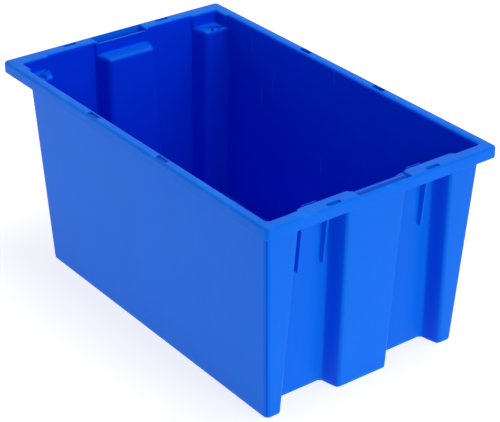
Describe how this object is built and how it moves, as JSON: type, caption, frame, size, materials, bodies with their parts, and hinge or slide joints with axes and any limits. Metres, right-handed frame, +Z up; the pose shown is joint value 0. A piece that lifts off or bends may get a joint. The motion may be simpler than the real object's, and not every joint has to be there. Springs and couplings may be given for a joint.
{
  "type": "storage tote",
  "caption": "Open rectangular plastic tote that nests, or stacks when turned end for end, with channelled ends and a flat rim.",
  "frame": {"origin": "on the ground under the middle of the tote", "axes": "+X along the length towards the end with three raised panels, +Z up"},
  "size_m": [0.4572, 0.2794, 0.2235],
  "materials": {
    "polyethylene": "satin moulded"
  },
  "bodies": {
    "root": {"end_a_centre_channel_back": "polyethylene", "end_a_centre_ledge": "polyethylene", "end_a_centre_ledge_wall": "polyethylene", "end_a_corner_ledge_far": "polyethylene", "end_a_corner_ledge_near": "polyethylene", "end_a_corner_ledge_wall_far": "polyethylene", "end_a_corner_ledge_wall_near": "polyethylene", "end_a_corner_recess_far": "polyethylene", "end_a_corner_recess_near": "polyethylene", "end_a_fin_centre_far": "polyethylene", "end_a_fin_centre_near": "polyethylene", "end_a_fin_corner_far": "polyethylene", "end_a_fin_corner_near": "polyethylene", "end_a_horn_far": "polyethylene", "end_a_horn_near": "polyethylene", "end_a_raised_panel_far": "polyethylene", "end_a_raised_panel_near": "polyethylene", "end_b_centre_panel": "polyethylene", "end_b_channel_back_far": "polyethylene", "end_b_channel_back_near": "polyethylene", "end_b_corner_panel_far": "polyethylene", "end_b_corner_panel_near": "polyethylene", "end_b_fin_inner_far": "polyethylene", "end_b_fin_inner_near": "polyethylene", "end_b_fin_outer_far": "polyethylene", "end_b_fin_outer_near": "polyethylene", "end_b_ledge_far": "polyethylene", "end_b_ledge_near": "polyethylene", "end_b_ledge_wall_far": "polyethylene", "end_b_ledge_wall_near": "polyethylene", "end_b_stop_far": "polyethylene", "end_b_stop_near": "polyethylene", "floor_panel": "polyethylene", "long_wall_far": "polyethylene", "long_wall_near": "polyethylene", "rim_corner_a_far": "polyethylene", "rim_corner_a_near": "polyethylene", "rim_corner_b_far": "polyethylene", "rim_corner_b_near": "polyethylene", "rim_end_a_far": "polyethylene", "rim_end_a_near": "polyethylene", "rim_end_b_far": "polyethylene", "rim_end_b_near": "polyethylene", "rim_side_far": "polyethylene", "rim_side_near": "polyethylene", "skirt_end_a": "polyethylene", "skirt_end_b": "polyethylene", "skirt_side_far": "polyethylene", "skirt_side_near": "polyethylene"}
  },
  "joints": []
}
